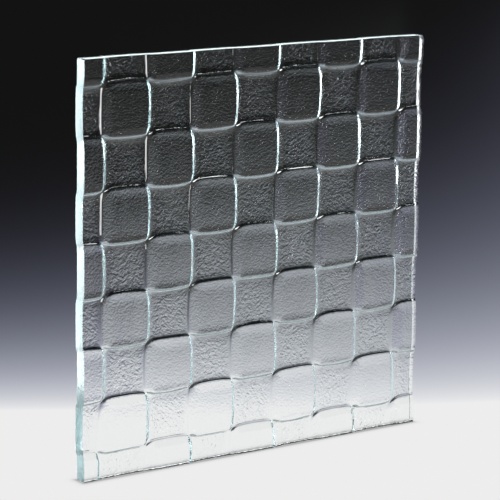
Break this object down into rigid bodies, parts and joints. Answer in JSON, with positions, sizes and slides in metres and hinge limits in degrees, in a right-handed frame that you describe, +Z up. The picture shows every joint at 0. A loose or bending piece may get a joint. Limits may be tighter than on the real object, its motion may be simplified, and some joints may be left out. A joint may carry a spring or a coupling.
{
  "type": "textured glass panel",
  "caption": "Square kiln-formed sheet of clear glass, pressed into a checkered relief of raised smooth cells and sunk rough cells.",
  "frame": {"origin": "middle of the bottom edge, where the sheet stands, half way through its depth", "axes": "+X along the sheet to the right as seen from the front, +Y to the back, through the thickness, +Z up"},
  "size_m": [0.3048, 0.0116, 0.3048],
  "materials": {
    "clear_glass": "clear glass with a faint blue-green tint, fire-polished faces and polished edges"
  },
  "bodies": {
    "root": {"glass_panel": "clear_glass"}
  },
  "joints": []
}
